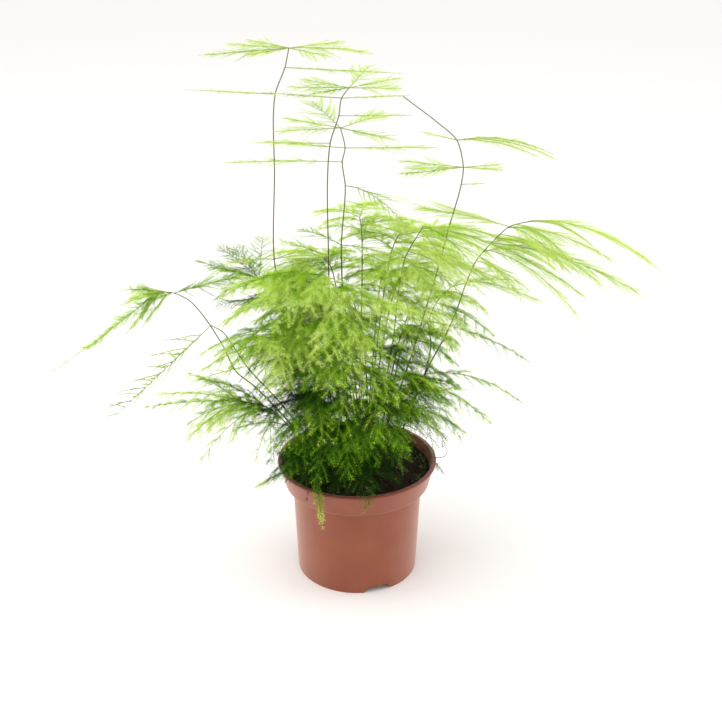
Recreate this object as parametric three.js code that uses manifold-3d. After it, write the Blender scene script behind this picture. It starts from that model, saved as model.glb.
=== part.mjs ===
// A potted asparagus fern: a plastic nursery pot, its soil, and fronds on wiry stems.
// Millimetres, +Z up. The origin is the middle of the pot's underside, and -Y is the front.
import * as THREE from "three";
import { mergeVertices } from "three/addons/utils/BufferGeometryUtils.js";
import Module from "manifold-3d";

const wasm = await Module();
wasm.setup();

// The pot is a 12 cm nursery pot with a flared rim band and a notched foot ring.
const rim = { radius: 60, height: 91.5, lip: 1.8 };
const band = { topRadius: 58.4, footRadius: 54.6, foot: 73 };
const body = { topRadius: 48.8, footRadius: 45.7 };
const ledge = { drop: 1, bevel: 0.6, bevelTop: 0.7, inside: 2 };
const lipBevel = 0.3;
const potWall = 1.5;
const potFloor = 4.5;
const potFacets = 40;
const notch = { count: 3, firstDeg: -70, footWidth: 21.5, topWidth: 15.5, height: 4.6, depth: 14, below: 1 };
const drain = { radius: 4.5, circle: 28, sides: 8 };

// The soil fills the pot to just under the lip, and each stem stands in a plain hole in it.
const soilEdge = 83.5;
const soilMound = 3.5;
const soilBump = 0.9;
const soilWaves = { x: 0.31, y: 0.27, start: 1, fineX: 0.73, fineY: 0.61, fine: 0.6, fade: 6 };
const soilGap = 0.35;
const soilFacets = 26;
const soilRings = [47, 34, 20];
const stemHole = { radius: 1.9, bottom: 57.5, sides: 4 };
const chips = { count: 8, seed: 41, smallest: 2.2, largest: 4.6, inner: 20, outer: 48 };
const chipShape = { wide: 0.7, thick: 0.5, turns: 3, raised: 0.05 };

// Stems stand upright in the soil from stemFoot to collar, and thin out towards their tips.
const stemFoot = 58;
const collar = 90;
const stem = { footRadius: 0.95, tipRadius: 0.68, sides: 4, tip: 1.2 };

// A spray has a slim core, and twigs that leave it on alternate sides, one at each slot.
const core = { rootRadius: 0.45, tipRadius: 0.34, needlesAt: 0.92 };
const twig = { rootWidth: 1.2, tipRadius: 0.32, shortest: 5 };
const twigBend = { leanDeg: 54, sweep: 0.22, sag: 0.1, tilt: 0.24 };
const slots = { spacing: 2.6, first: 0.08, last: 0.9, kept: 10, keptFrom: 3 };
const needle = { length: 4.6, leanDeg: 42, rootWidth: 0.9, behindTip: 4.5, nearest: 0.4 };
// How a spray fills out from its root, and thins to its tip.
const fill = { root: 0.45, rise: 2.4, fall: 0.7 };
const clearance = 0.3;
// Corners closer than this are one corner, and a spray's direction is taken over this share of it.
const weld = 1e-4;
const nearby = 0.02;

// Each look is a colour of foliage: the upper fronds are the palest.
const looks = {
  pot: { color: 0xb0674a, roughness: 0.55, metalness: 0 },
  soil: { color: 0x2e211a, roughness: 0.95, metalness: 0 },
  lime: { color: 0xa9cf45, roughness: 0.6, metalness: 0 },
  green: { color: 0x7fb02e, roughness: 0.6, metalness: 0 },
  deep: { color: 0x4c7a22, roughness: 0.65, metalness: 0 },
};

// Fronds placed one by one. A foot is [x, y] in the soil, and a route's points are [x, y, z].
// A spray leaves the route's numbered point, counted from 1. Its heading is in degrees from +X
// towards +Y, pitch is its rise at the root, droop is how far its tip falls below that line, and
// width is its half width.
const placedFronds = [
  {
    name: "frond_tall_left",
    look: "lime",
    foot: [-21, 12],
    route: [[-47, 13, 170], [-59, 11, 247], [-57, 10, 310], [-55, 10, 366], [-48, 10, 384], [-45, 10, 397]],
    sprays: [
      { at: 4, heading: 176, length: 62, pitch: 2, width: 6 },
      { at: 5, heading: -4, length: 80, pitch: -2, width: 7 },
      { at: 6, heading: 188, length: 60, pitch: -3, width: 15 },
      { at: 6, heading: 172, length: 44, pitch: 2, width: 15 },
      { at: 6, heading: 2, length: 56, pitch: 2, droop: 6, width: 18 },
      { at: 6, heading: -38, length: 36, pitch: -2, width: 16 },
    ],
  },
  {
    name: "frond_tall_middle",
    look: "lime",
    foot: [-9, 7],
    route: [[-18, 5, 170], [-20, 4, 251], [-18, 3, 334], [-12, 3, 353], [-10, 3, 365], [-5, 3, 372]],
    sprays: [
      { at: 3, heading: 178, length: 54, pitch: 0, width: 12 },
      { at: 4, heading: -3, length: 50, pitch: 1, width: 8 },
      { at: 5, heading: 176, length: 54, pitch: 3, width: 7 },
      { at: 5, heading: 6, length: 46, pitch: 1, width: 7 },
      { at: 6, heading: 186, length: 42, pitch: 2, width: 15 },
      { at: 6, heading: -12, length: 36, pitch: 2, width: 17 },
      { at: 6, heading: 68, length: 38, pitch: 12, width: 20 },
    ],
  },
  {
    name: "frond_tall_thin",
    look: "lime",
    foot: [3, 14],
    route: [[-8, 14, 180], [-11, 13, 257], [-8, 13, 301], [-10, 13, 318], [-8, 13, 328], [-11, 13, 342]],
    sprays: [
      { at: 3, heading: -42, length: 58, pitch: 8, droop: 26, width: 28 },
      { at: 4, heading: 186, length: 84, pitch: 4, droop: 4, width: 14 },
      { at: 5, heading: -6, length: 64, pitch: 2, width: 14 },
      { at: 6, heading: 120, length: 44, pitch: 14, width: 26 },
      { at: 6, heading: 196, length: 46, pitch: 1, width: 18 },
      { at: 6, heading: -34, length: 44, pitch: -2, width: 22 },
    ],
  },
  {
    name: "frond_tall_right",
    look: "lime",
    foot: [18, 9],
    route: [[40, 5, 174], [49, 3, 209], [57, 2, 241], [64, 0, 273], [72, 0, 306], [73, 0, 318],
      [68, 0, 337], [56, 0, 348], [31, 0, 367]],
    sprays: [
      { at: 5, heading: -8, length: 17, pitch: 4, width: 6 },
      { at: 6, heading: -20, length: 28, pitch: 2, width: 15 },
      { at: 6, heading: 188, length: 42, pitch: 1, width: 20 },
      { at: 7, heading: -4, length: 72, pitch: 8, droop: 24, width: 13 },
      { at: 7, heading: 192, length: 28, pitch: 16, width: 7 },
    ],
  },
  {
    name: "frond_arching_right",
    look: "lime",
    foot: [27, -6],
    route: [[52, -8, 171], [64, -7, 196], [71, -6, 214], [78, -5, 237], [84, -5, 252], [94, -5, 265],
      [106, -5, 277], [122, -4, 281]],
    sprays: [
      { at: 4, heading: -22, length: 58, pitch: 4, droop: 14, width: 18 },
      { at: 5, heading: -34, length: 42, pitch: -4, droop: 10, width: 13 },
      { at: 6, heading: -13, length: 116, pitch: 0, droop: 36, width: 30 },
      { at: 7, heading: 168, length: 72, pitch: 14, droop: 8, width: 30 },
      { at: 8, heading: 6, length: 101, pitch: 0, droop: 46, width: 24 },
      { at: 7, heading: -52, length: 60, pitch: 4, droop: 22, width: 24 },
    ],
  },
  {
    name: "frond_long_right",
    look: "lime",
    foot: [12, -3],
    route: [[26, -6, 190], [34, -9, 256], [46, -10, 279]],
    sprays: [
      { at: 3, heading: 0, length: 128, pitch: -8, droop: 44, width: 24 },
      { at: 3, heading: -48, length: 52, pitch: 2, droop: 20, width: 20 },
      { at: 2, heading: 222, length: 46, pitch: 10, droop: 16, width: 20 },
    ],
  },
  {
    name: "frond_lower_right",
    look: "green",
    foot: [28, 4],
    route: [[50, 3, 160], [54, 2, 184], [52, 1, 203], [57, 0, 218], [67, 0, 230]],
    sprays: [
      { at: 3, heading: -12, length: 74, pitch: -4, droop: 20, width: 17 },
      { at: 4, heading: -44, length: 54, pitch: 6, droop: 16, width: 20 },
      { at: 5, heading: 18, length: 52, pitch: 12, droop: 12, width: 20 },
      { at: 1, heading: 4, length: 76, pitch: 8, droop: 38, width: 17 },
    ],
  },
  {
    name: "frond_arching_left",
    look: "green",
    foot: [-29, -5],
    route: [[-57, -4, 132], [-76, -4, 154], [-88, -4, 165], [-97, -4, 186], [-109, -4, 208],
      [-119, -4, 221], [-130, -4, 227], [-142, -4, 228]],
    sprays: [
      { at: 8, heading: 181, length: 107, pitch: -41, droop: -8, width: 11 },
      { at: 8, heading: 206, length: 46, pitch: -50, droop: -2, width: 7 },
      { at: 8, heading: 160, length: 30, pitch: 2, droop: 4, width: 9 },
      { at: 7, heading: 10, length: 64, pitch: 14, droop: 4, width: 18 },
    ],
  },
  {
    name: "frond_sparse_left",
    look: "green",
    foot: [-23, -13],
    route: [[-56, -16, 146], [-79, -18, 176], [-88, -18, 192], [-95, -18, 203], [-103, -18, 208]],
    sprays: [
      { at: 5, heading: 183, length: 102, pitch: -44, width: 30 },
      { at: 2, heading: 190, length: 44, pitch: -8, droop: 4, width: 15 },
    ],
  },
  {
    name: "frond_low_left",
    look: "green",
    foot: [-33, -15],
    route: [[-50, -22, 130], [-66, -26, 148], [-84, -28, 153]],
    sprays: [
      { at: 3, heading: 178, length: 72, pitch: 2, droop: 9, width: 17 },
      { at: 3, heading: 222, length: 48, pitch: -2, droop: 14, width: 17 },
      { at: 2, heading: 144, length: 46, pitch: 8, droop: 10, width: 18 },
    ],
  },
  {
    name: "frond_back_left",
    look: "deep",
    foot: [-15, 26],
    route: [[-42, 42, 162], [-60, 52, 200], [-74, 55, 215]],
    sprays: [
      { at: 3, heading: 172, length: 52, pitch: 14, width: 16 },
      { at: 3, heading: 120, length: 48, pitch: 16, width: 22 },
      { at: 2, heading: 66, length: 52, pitch: 20, width: 24 },
    ],
  },
  {
    name: "frond_over_rim",
    look: "deep",
    foot: [-16, -33],
    route: [[-22, -42, 104], [-30, -55, 114]],
    sprays: [
      { at: 2, heading: -68, length: 45, pitch: -70, width: 8 },
      { at: 2, heading: 168, length: 46, pitch: -8, droop: 16, width: 12 },
    ],
  },
  {
    name: "frond_front_left",
    look: "lime",
    foot: [-5, -10],
    route: [[-12, -15, 170], [-23, -22, 216], [-32, -26, 242], [-40, -29, 253]],
    sprays: [
      { at: 4, heading: 214, length: 60, pitch: 10, droop: 16, width: 22 },
      { at: 4, heading: 238, length: 48, pitch: 4, droop: 18, width: 18 },
      { at: 3, heading: 254, length: 44, pitch: 16, droop: 14, width: 16 },
      { at: 3, heading: 176, length: 48, pitch: 12, droop: 12, width: 20 },
    ],
  },
  {
    name: "frond_front_middle",
    look: "lime",
    foot: [3, -9],
    route: [[-2, -15, 170], [-9, -22, 214], [-15, -27, 240], [-22, -31, 251]],
    sprays: [
      { at: 4, heading: 257, length: 48, pitch: 6, droop: 13, width: 17 },
      { at: 4, heading: 280, length: 50, pitch: 6, droop: 14, width: 17 },
      { at: 3, heading: 306, length: 46, pitch: 18, droop: 9, width: 18 },
      { at: 4, heading: 204, length: 44, pitch: 16, droop: 8, width: 18 },
    ],
  },
  {
    name: "frond_front_right",
    look: "lime",
    foot: [8, -12],
    route: [[7, -18, 165], [4, -25, 205], [-2, -30, 230], [-6, -36, 240]],
    sprays: [
      { at: 4, heading: 246, length: 54, pitch: -4, droop: 16, width: 18 },
      { at: 3, heading: -42, length: 50, pitch: 20, droop: 8, width: 20 },
      { at: 3, heading: -14, length: 54, pitch: 8, droop: 14, width: 20 },
    ],
  },
  {
    name: "frond_left_plume",
    look: "green",
    foot: [-9, -15],
    route: [[-24, -21, 170], [-40, -25, 210], [-52, -28, 230]],
    sprays: [
      { at: 3, heading: 192, length: 46, pitch: 2, droop: 16, width: 18 },
      { at: 3, heading: 236, length: 48, pitch: -8, droop: 16, width: 20 },
      { at: 2, heading: 254, length: 50, pitch: 2, droop: 16, width: 20 },
      { at: 2, heading: 206, length: 44, pitch: -2, droop: 16, width: 18 },
    ],
  },
  {
    name: "frond_centre_front",
    look: "green",
    foot: [0, -19],
    route: [[-2, -26, 140], [-6, -34, 170], [-10, -41, 190], [-14, -44, 199]],
    sprays: [
      { at: 4, heading: 278, length: 34, pitch: -6, droop: 6, width: 15 },
      { at: 4, heading: 240, length: 42, pitch: -2, droop: 10, width: 16 },
      { at: 3, heading: 302, length: 38, pitch: -8, droop: 8, width: 14 },
      { at: 2, heading: 262, length: 36, pitch: 4, droop: 12, width: 13 },
    ],
  },
  {
    name: "frond_right_front",
    look: "green",
    foot: [15, -13],
    route: [[14, -20, 140], [12, -28, 166], [10, -33, 182]],
    sprays: [
      { at: 3, heading: -14, length: 58, pitch: 4, droop: 18, width: 18 },
      { at: 2, heading: -36, length: 50, pitch: 2, droop: 12, width: 16 },
      { at: 3, heading: -70, length: 36, pitch: -4, droop: 8, width: 14 },
    ],
  },
  {
    name: "frond_left_front",
    look: "green",
    foot: [-15, -11],
    route: [[-30, -20, 150], [-48, -30, 188], [-60, -38, 204], [-70, -42, 212]],
    sprays: [
      { at: 4, heading: -52, length: 36, pitch: 0, droop: 4, width: 13 },
      { at: 2, heading: 258, length: 46, pitch: 8, droop: 12, width: 18 },
      { at: 4, heading: 190, length: 40, pitch: 0, droop: 14, width: 14 },
    ],
  },
];

// Bushy fronds placed by a rule: each leans out along its heading from a foot near the middle,
// arches over at its top, and carries one spray straight on and one to each side.
const tiers = [
  {
    name: "frond_upper",
    look: "lime",
    foot: 9,
    seed: 11000,
    spray: { length: 62, pitch: 10, droop: 20, width: 25 },
    plans: [[-8, 40, 250], [36, 38, 262], [86, 30, 272], [138, 32, 244], [184, 38, 238]],
  },
  {
    name: "frond_middle",
    look: "green",
    foot: 18,
    seed: 23000,
    spray: { length: 60, pitch: 10, droop: 24, width: 25 },
    plans: [[-104, 36, 222], [22, 50, 212], [66, 47, 226], [128, 48, 206], [173, 48, 194]],
  },
  {
    name: "frond_lower",
    look: "deep",
    foot: 27,
    seed: 37000,
    spray: { length: 54, pitch: 6, droop: 26, width: 22 },
    plans: [[-133, 42, 158], [-104, 40, 142], [-66, 36, 158], [-22, 46, 164], [38, 50, 180], [86, 47, 162],
      [144, 50, 172]],
  },
  {
    name: "frond_short",
    look: "deep",
    foot: 35,
    seed: 53000,
    spray: { length: 40, pitch: 4, droop: 20, width: 16 },
    plans: [[-122, 37, 122], [-84, 37, 112], [-152, 37, 110]],
  },
];
// A route in the tiers, as shares of the reach and of the rise, and the turn and size of its sprays.
const arch = [[0.25, 0.5], [0.55, 0.84], [0.8, 0.97], [1, 1]];
const fan = [{ at: 4, turn: 0, size: 1 }, { at: 4, turn: 52, size: 0.8 }, { at: 3, turn: -50, size: 0.84 }];
const spread = { jitterDeg: 14, sway: 6, length: 0.1, pitch: 0.4, twig: 0.15 };
// Each frond of a tier, and each spray, draws from its own stream.
const seedSteps = { tierFrond: 77, frond: 131, spray: 17 };
const stream = { factor: 16807, modulus: 2147483647 };

const deg = Math.PI / 180;
const up = new THREE.Vector3(0, 0, 1);
const { lerp } = THREE.MathUtils;

// A repeatable stream of numbers between 0 and 1.
function seeded(seed) {
  let state = seed;
  return () => {
    state = (state * stream.factor) % stream.modulus;
    return state / stream.modulus;
  };
}

// A share between 1 - most and 1 + most.
function varied(most, draw) {
  return lerp(1 - most, 1 + most, draw);
}

// The closed solid of a three.js geometry, in manifold-3d's own form.
function solidOf(geometry) {
  geometry.deleteAttribute("normal");
  geometry.deleteAttribute("uv");
  const merged = mergeVertices(geometry, weld);
  const corners = merged.index.array;
  const triangles = [];
  for (let i = 0; i < corners.length; i += 3) {
    const [a, b, c] = corners.slice(i, i + 3);
    if (a !== b && b !== c && c !== a) triangles.push(a, b, c);
  }
  const vertProperties = new Float32Array(merged.attributes.position.array);
  const triVerts = new Uint32Array(triangles);
  return new wasm.Manifold(new wasm.Mesh({ numProp: 3, vertProperties, triVerts }));
}

// A named mesh of a solid's largest body: a loose scrap is dropped.
function meshOf(name, solid, look) {
  const [largest] = solid.decompose().sort((a, b) => b.volume() - a.volume());
  const { vertProperties, triVerts } = largest.getMesh();
  const geometry = new THREE.BufferGeometry();
  geometry.setAttribute("position", new THREE.BufferAttribute(vertProperties, 3));
  geometry.setIndex(new THREE.BufferAttribute(triVerts, 1));
  geometry.computeVertexNormals();
  const mesh = new THREE.Mesh(geometry, new THREE.MeshStandardMaterial(looks[look]));
  mesh.name = name;
  return mesh;
}

// A turned shape about +Z from a closed outline of [radius, height] corners.
function turned(outline, facets) {
  const points = outline.map(([r, z]) => new THREE.Vector2(r, z));
  return new THREE.LatheGeometry(points, facets).rotateX(Math.PI / 2);
}

// The inner radius of the pot's body, under the band.
function bodyInside(z) {
  return lerp(body.footRadius, body.topRadius, z / band.foot) - potWall;
}

// The inner radius of the pot's band.
function bandInside(z) {
  return lerp(band.footRadius, band.topRadius, (z - band.foot) / (rim.height - band.foot)) - potWall;
}

function pot() {
  const floorTop = potFloor + potWall;
  const underLip = rim.height - rim.lip;
  const ledgeTop = band.foot + ledge.inside;
  const outline = [
    [0, potFloor],
    [bodyInside(0), potFloor],
    [bodyInside(0), 0],
    [body.footRadius, 0],
    [body.topRadius, band.foot - ledge.drop],
    [band.footRadius - ledge.bevel, band.foot],
    [band.footRadius, band.foot + ledge.bevelTop],
    [band.topRadius, underLip],
    [rim.radius, underLip + lipBevel],
    [rim.radius - lipBevel, rim.height],
    [bandInside(rim.height), rim.height],
    [bandInside(ledgeTop), ledgeTop],
    [bodyInside(band.foot), band.foot],
    [bodyInside(floorTop), floorTop],
    [0, floorTop],
  ];
  let solid = solidOf(turned(outline, potFacets));
  for (let i = 0; i < notch.count; i++) {
    const turn = (notch.firstDeg + (360 / notch.count) * i) * deg;
    const apart = turn + Math.PI / notch.count;
    solid = solid.subtract(notchCutter(turn)).subtract(drainCutter(apart, drain.circle));
  }
  return solid.subtract(drainCutter(0, 0));
}

// A trapezoid block that opens the foot ring, wider at the floor than at its top.
function notchCutter(turn) {
  const foot = notch.footWidth / 2;
  const top = notch.topWidth / 2;
  const { below, height } = notch;
  const corners = [[-foot, -below], [foot, -below], [foot, 0], [top, height], [-top, height], [-foot, 0]];
  const shape = new THREE.Shape(corners.map(([x, y]) => new THREE.Vector2(x, y)));
  const block = new THREE.ExtrudeGeometry(shape, { depth: notch.depth, bevelEnabled: false });
  block.rotateX(Math.PI / 2).rotateZ(Math.PI / 2);
  block.translate(body.footRadius - notch.depth / 2, 0, 0).rotateZ(turn);
  return solidOf(block);
}

// A hole through the pot's floor.
function drainCutter(turn, out) {
  const hole = new THREE.CylinderGeometry(drain.radius, drain.radius, 4 * potWall, drain.sides);
  hole.rotateX(Math.PI / 2);
  hole.translate(out * Math.cos(turn), out * Math.sin(turn), potFloor + potWall / 2);
  return solidOf(hole);
}

// The height of the soil's top: a low mound with crumbly bumps that die out at the wall.
function soilTop(x, y) {
  const share = Math.min(1, Math.hypot(x, y) / bandInside(soilEdge));
  const coarse = Math.sin(x * soilWaves.x + soilWaves.start) * Math.cos(y * soilWaves.y);
  const fine = soilWaves.fine * Math.sin(x * soilWaves.fineX - y * soilWaves.fineY);
  const bumps = soilBump * (coarse + fine) * (1 - share ** soilWaves.fade);
  return soilEdge + soilMound * (1 - share ** 2) + bumps;
}

function soil(feet) {
  const bottom = potFloor + potWall + soilGap;
  const ledgeTop = band.foot + ledge.inside;
  const outline = [
    [0, bottom],
    [bodyInside(bottom) - soilGap, bottom],
    [bodyInside(band.foot) - soilGap, band.foot + soilGap],
    [bandInside(ledgeTop) - soilGap, ledgeTop + soilGap],
    [bandInside(soilEdge) - soilGap, soilEdge],
    ...soilRings.map((r) => [r, soilEdge]),
    [0, soilEdge],
  ];
  const shape = turned(outline, soilFacets);
  const place = shape.attributes.position;
  for (let i = 0; i < place.count; i++) {
    const [x, y] = [place.getX(i), place.getY(i)];
    const isTop = place.getZ(i) > soilEdge - 0.01 && Math.hypot(x, y) < soilRings[0] + 1;
    if (isTop) place.setZ(i, soilTop(x, y));
  }
  const random = seeded(chips.seed);
  let solid = solidOf(shape);
  for (let i = 0; i < chips.count; i++) solid = solid.add(chip(random));
  for (const [x, y] of feet) {
    const depth = rim.height - stemHole.bottom;
    const hole = new THREE.CylinderGeometry(stemHole.radius, stemHole.radius, depth, stemHole.sides);
    hole.rotateX(Math.PI / 2).translate(x, y, stemHole.bottom + depth / 2);
    solid = solid.subtract(solidOf(hole));
  }
  return solid;
}

// A crumb of bark or peat, half sunk in the soil.
function chip(random) {
  const size = lerp(chips.smallest, chips.largest, random());
  const turn = 2 * Math.PI * random();
  const out = lerp(chips.inner, chips.outer, random());
  const x = out * Math.cos(turn);
  const y = out * Math.sin(turn);
  const crumb = new THREE.OctahedronGeometry(size / 2);
  crumb.scale(1, chipShape.wide, chipShape.thick).rotateZ(chipShape.turns * turn);
  crumb.translate(x, y, soilTop(x, y) + chipShape.raised * size);
  return solidOf(crumb);
}

// A shape that grows as tubes out of loops of corners, each loop anticlockwise seen from outside.
class Growth {
  places = [];
  faces = [];

  corner(place) {
    return this.places.push(place) - 1;
  }

  middle(loop) {
    const sum = new THREE.Vector3();
    loop.forEach((corner) => sum.add(this.places[corner]));
    return sum.divideScalar(loop.length);
  }

  // A closed end round a point, which faces back along the growth.
  root(point, along, side, radius, sides, phase) {
    const across = new THREE.Vector3().crossVectors(along, side);
    const loop = Array.from({ length: sides }, (_, k) => {
      const turn = phase + (2 * Math.PI * k) / sides;
      const place = point.clone().addScaledVector(side, radius * Math.cos(turn));
      return this.corner(place.addScaledVector(across, radius * Math.sin(turn)));
    });
    for (let k = 1; k < sides - 1; k++) this.faces.push(loop[0], loop[k + 1], loop[k]);
    return loop;
  }

  // A tube from a loop through points to a pointed tip. Where sprout(band, side) gives a function,
  // that side's quad is handed to it instead of being filled.
  tube(loop, points, radii, sprout = () => null) {
    let ring = loop;
    const last = points.length - 1;
    for (let i = 0; i < last; i++) {
      const middle = this.middle(ring);
      const along = points[i + 1].clone().sub(i ? points[i - 1] : middle).normalize();
      const next = ring.map((corner) => {
        const offset = this.places[corner].clone().sub(middle);
        offset.addScaledVector(along, -offset.dot(along)).setLength(radii[i]);
        return this.corner(offset.add(points[i]));
      });
      ring.forEach((corner, k) => {
        const beside = (k + 1) % ring.length;
        const quad = [corner, ring[beside], next[beside], next[k]];
        const grow = sprout(i, k);
        if (grow) grow(quad);
        else this.faces.push(quad[0], quad[1], quad[2], quad[0], quad[2], quad[3]);
      });
      ring = next;
    }
    const tip = this.corner(points[last]);
    ring.forEach((corner, k) => this.faces.push(corner, ring[(k + 1) % ring.length], tip));
  }

  // A needle raised from a quad, leaning forward along its twig.
  needle(quad) {
    const [a, b, c, d] = quad.map((corner) => this.places[corner]);
    const along = d.clone().sub(a).add(c).sub(b).normalize();
    const out = new THREE.Vector3().crossVectors(c.clone().sub(a), d.clone().sub(b)).normalize();
    const point = this.middle(quad).addScaledVector(along, needle.length * Math.cos(needle.leanDeg * deg));
    this.tube(quad, [point.addScaledVector(out, needle.length * Math.sin(needle.leanDeg * deg))], []);
  }

  // A twig from a loop, with a ring of needles behind its tip.
  twig(loop, { length, place }) {
    const needlesAt = Math.max(needle.nearest, 1 - needle.behindTip / length);
    const stops = [needlesAt, needlesAt + needle.rootWidth / length, 1];
    const radii = [twig.tipRadius, twig.tipRadius];
    this.tube(loop, stops.map(place), radii, (i) => i === 1 && ((quad) => this.needle(quad)));
  }

  solid() {
    const geometry = new THREE.BufferGeometry().setFromPoints(this.places);
    geometry.setIndex(this.faces);
    return solidOf(geometry);
  }
}

// The wiry stem of a frond, upright in the soil and then through its route.
function stemOf(frond) {
  const [x, y] = frond.foot;
  const points = [[x, y, stemFoot], [x, y, collar], ...frond.route].map((p) => new THREE.Vector3(...p));
  const radii = points.map((p, i) => lerp(stem.footRadius, stem.tipRadius, i / (points.length - 1)));
  const last = points.at(-1);
  points.push(last.clone().addScaledVector(last.clone().sub(points.at(-2)).normalize(), stem.tip));
  const growth = new Growth();
  const loop = growth.root(points[0], up, new THREE.Vector3(1, 0, 0), radii[0], stem.sides, Math.PI / 4);
  growth.tube(loop, points.slice(1), radii.slice(1));
  return growth.solid();
}

// The line of a spray's core, as a function of the share of its length.
function sprayLine(frond, spray) {
  const start = new THREE.Vector3(...frond.route[spray.at - 1]);
  const level = new THREE.Vector3(Math.cos(spray.heading * deg), Math.sin(spray.heading * deg), 0);
  const run = spray.length * Math.cos(spray.pitch * deg);
  const rise = spray.length * Math.sin(spray.pitch * deg);
  const droop = spray.droop ?? 0;
  return (t) => start.clone().addScaledVector(level, run * t).addScaledVector(up, rise * t - droop * t * t);
}

// A spray: a slim three-sided core with a ridge along its top, needles behind its tip, and the
// given twigs. Each twig grows from half of a short band of one of the two upper sides, and the
// band's other two sides carry a needle.
function sprayOf(line, spray, twigs) {
  const stops = [];
  const bands = new Map();
  const rootShare = twig.rootWidth / spray.length;
  for (const found of twigs) {
    bands.set(stops.length + 1, found);
    stops.push(found.t - rootShare / 2, found.t + rootShare / 2);
  }
  const needleBand = stops.length + 1;
  stops.push(core.needlesAt, core.needlesAt + needle.rootWidth / spray.length, 1);
  const growth = new Growth();
  const along = line(stops[0]).sub(line(0)).normalize();
  const side = new THREE.Vector3().crossVectors(along, up).normalize();
  const loop = growth.root(line(0), along, side, core.rootRadius, 3, Math.PI / 2);
  const radii = stops.map((t) => lerp(core.rootRadius, core.tipRadius, t));
  growth.tube(loop, stops.map(line), radii, (i, k) => {
    if (i === needleBand) return (quad) => growth.needle(quad);
    const found = bands.get(i);
    if (!found) return null;
    if (k !== found.side) return (quad) => growth.needle(quad);
    return ([a, b, c, d]) => {
      growth.faces.push(a, c, d);
      growth.twig([a, b, c], found);
    };
  });
  return growth.solid();
}

// A spray is fullest near its root and slim at its tip.
function fullness(t) {
  return Math.min(1, fill.root + fill.rise * t) * (1 - t) ** fill.fall;
}

// The twigs of a spray, one at each slot: where each runs, and how long it is.
function twigsOf(line, spray, random) {
  const count = Math.round((spray.length * (slots.last - slots.first)) / slots.spacing);
  const found = [];
  for (let slot = 0; slot < count; slot++) {
    const t = lerp(slots.first, slots.last, slot / (count - 1));
    const length = spray.width * fullness(t) * varied(spread.twig, random());
    const tilt = twigBend.tilt * (random() - 0.5);
    if (length < twig.shortest) continue;
    const root = line(t);
    const forward = line(t + nearby).sub(line(t - nearby)).normalize();
    const sideways = new THREE.Vector3().crossVectors(up, forward).normalize();
    const side = slot % 2 ? 2 : 0;
    if (side) sideways.negate();
    const reach = forward.clone().multiplyScalar(Math.cos(twigBend.leanDeg * deg));
    reach.addScaledVector(sideways, Math.sin(twigBend.leanDeg * deg)).addScaledVector(up, tilt).normalize();
    const place = (s) => {
      const spot = root.clone().addScaledVector(reach, length * s);
      spot.addScaledVector(forward, twigBend.sweep * length * s * s);
      return spot.addScaledVector(up, -twigBend.sag * length * s * s);
    };
    found.push({ slot, t, side, length, place });
  }
  return found;
}

// A tier's fronds, from the plan of each: its heading, its reach from the middle and its top.
function tierFronds(tier) {
  return tier.plans.map(([heading, reach, top], i) => {
    const random = seeded(tier.seed + seedSteps.tierFrond * i);
    const turn = heading * deg;
    const place = (r, z, sway) => [
      r * Math.cos(turn) - sway * Math.sin(turn),
      r * Math.sin(turn) + sway * Math.cos(turn),
      z,
    ];
    const [x, y] = place(tier.foot, 0, 0);
    const bend = spread.sway * (random() - 0.5);
    const route = arch.map(([out, rise]) => {
      const sway = bend * Math.sin(Math.PI * out);
      return place(lerp(tier.foot, reach, out), lerp(collar, top, rise), sway);
    });
    const sprays = fan.map(({ at, turn: off, size }) => ({
      at,
      heading: heading + off + spread.jitterDeg * (random() - 0.5),
      length: tier.spray.length * size * varied(spread.length, random()),
      pitch: tier.spray.pitch * varied(spread.pitch, random()),
      droop: tier.spray.droop * size,
      width: tier.spray.width * size,
    }));
    return { name: `${tier.name}_${i + 1}`, look: tier.look, foot: [x, y], route, sprays };
  });
}

// Everything that stands already, so that nothing grows through another node.
const standing = new Map();
function stand(name, solid) {
  standing.set(name, { solid, box: solid.boundingBox() });
}

// The node that a solid comes too close to, if there is one.
function touched(name, solid) {
  const box = solid.boundingBox();
  for (const [otherName, other] of standing) {
    const apart = [0, 1, 2].some(
      (k) => box.min[k] - clearance > other.box.max[k] || other.box.min[k] - clearance > box.max[k],
    );
    if (otherName === name || apart) continue;
    if (solid.minGap(other.solid, 2 * clearance) < clearance) return otherName;
  }
  return null;
}

// Adds a bare stem or core to its frond, which has to be clear of all the others.
function standClear(name, solid) {
  const other = touched(name, solid);
  if (other) throw new Error(`a stem or a core of ${name} comes too close to ${other}`);
  const before = standing.get(name);
  stand(name, before ? before.solid.add(solid) : solid);
}

const fronds = [...placedFronds, ...tiers.flatMap(tierFronds)];
const potSolid = pot();
const soilSolid = soil(fronds.map((frond) => frond.foot));
stand("pot", potSolid);
stand("soil", soilSolid);
const stems = fronds.map(stemOf);
fronds.forEach((frond, i) => standClear(frond.name, stems[i]));
for (const frond of fronds) {
  for (const spray of frond.sprays) standClear(frond.name, sprayOf(sprayLine(frond, spray), spray, []));
}

const pottedFern = new THREE.Group();
pottedFern.add(meshOf("pot", potSolid, "pot"), meshOf("soil", soilSolid, "soil"));
fronds.forEach((frond, i) => {
  const sprays = frond.sprays.map((spray, k) => {
    const line = sprayLine(frond, spray);
    const random = seeded(1 + seedSteps.frond * i + seedSteps.spray * k);
    const kept = twigsOf(line, spray, random).filter((found) => found.slot % slots.kept === slots.keptFrom);
    const clear = kept.filter((found) => !touched(frond.name, sprayOf(line, spray, [found])));
    return sprayOf(line, spray, clear);
  });
  const whole = wasm.Manifold.union([stems[i], ...sprays]);
  stand(frond.name, whole);
  pottedFern.add(meshOf(frond.name, whole, frond.look));
});
export default pottedFern;
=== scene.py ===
import math

import bmesh
import bpy
import numpy as np
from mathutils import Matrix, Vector, noise


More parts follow.
